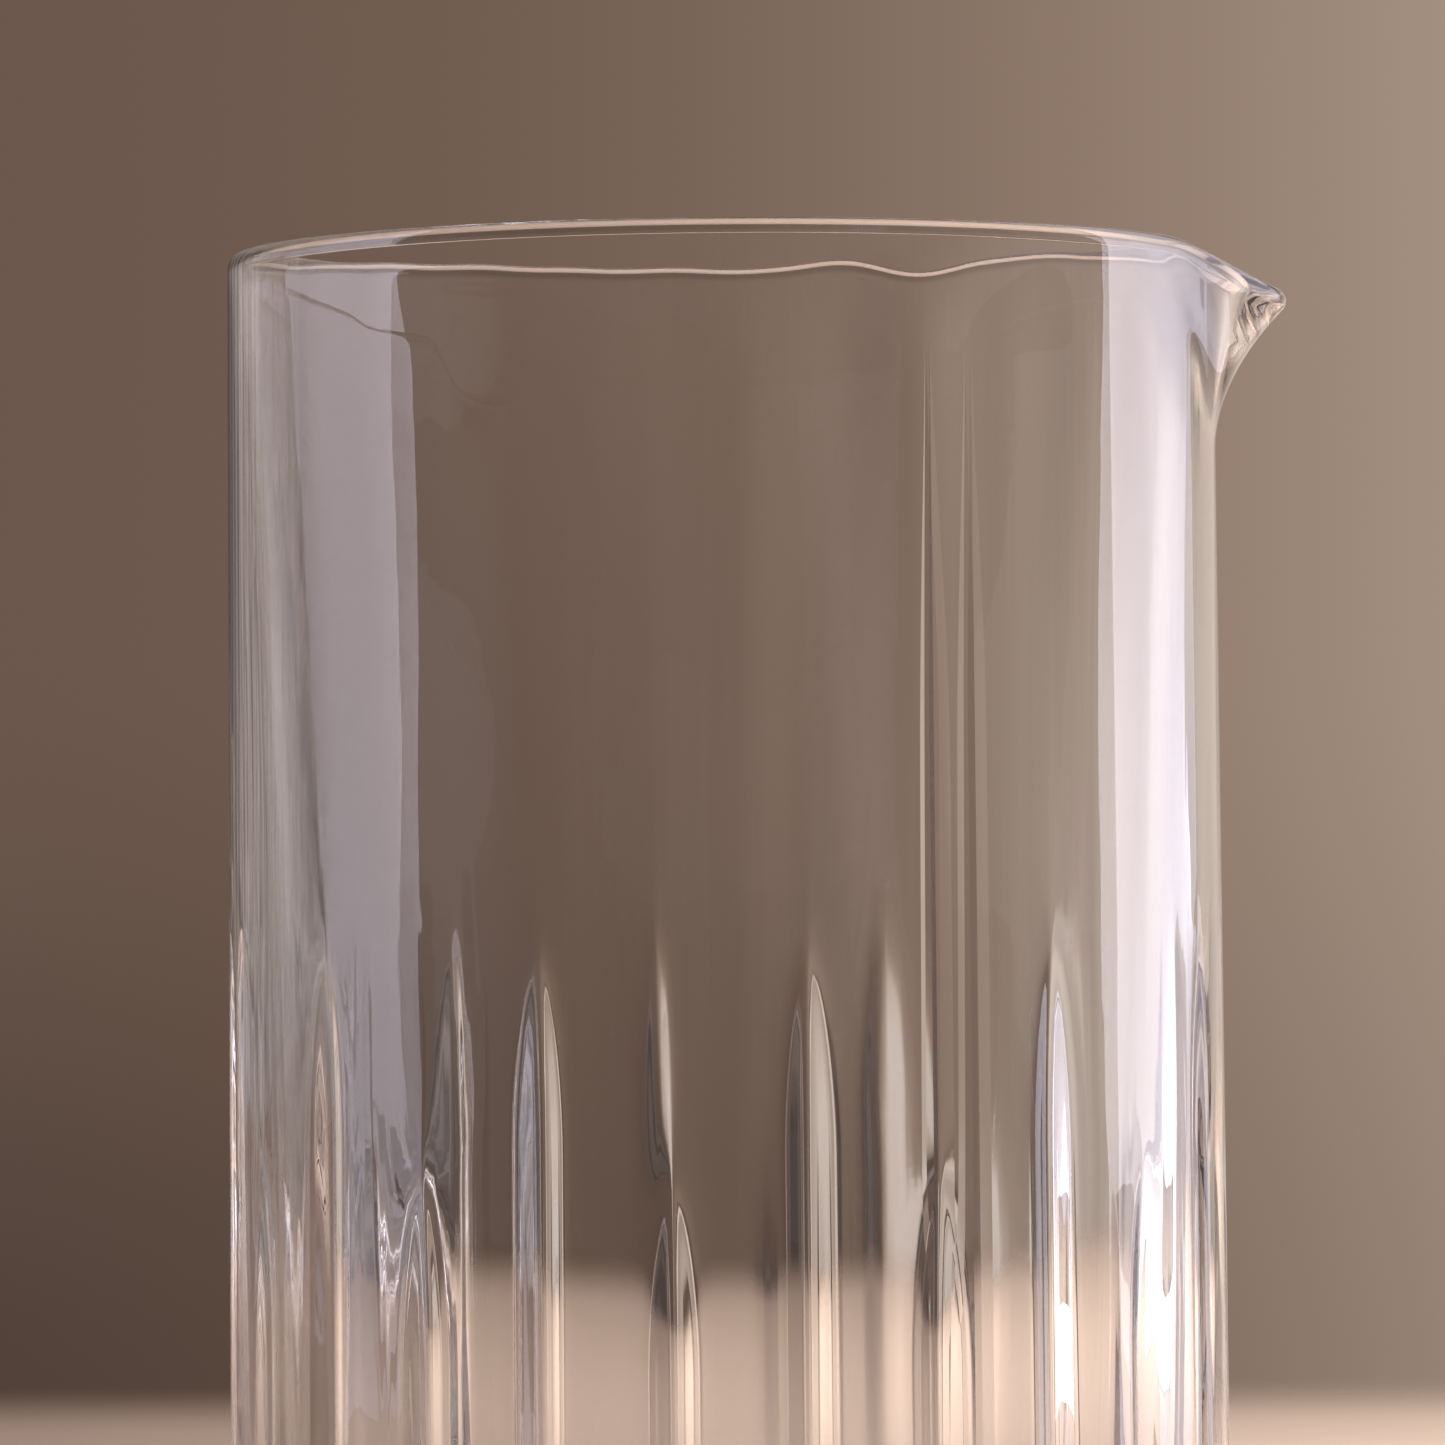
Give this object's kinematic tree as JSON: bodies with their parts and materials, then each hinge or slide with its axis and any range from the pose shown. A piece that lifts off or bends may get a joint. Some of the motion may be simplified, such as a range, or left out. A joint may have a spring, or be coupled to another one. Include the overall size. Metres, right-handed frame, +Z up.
{
  "type": "mixing glass",
  "caption": "Clear straight-sided glass with a heavy flat foot, a pouring spout pulled out of the thin rim, and upright cuts, long and short by turns, round its lower wall.",
  "frame": {"origin": "centre of the flat ground underside of the foot", "axes": "+Z up along the axis of the round wall, +X towards the middle of the pouring spout"},
  "size_m": [0.1049, 0.0984, 0.15],
  "materials": {
    "clear_glass": "clear and colourless, fire-polished, with polished cuts"
  },
  "bodies": {
    "root": {"mixing_glass": "clear_glass"}
  },
  "joints": []
}
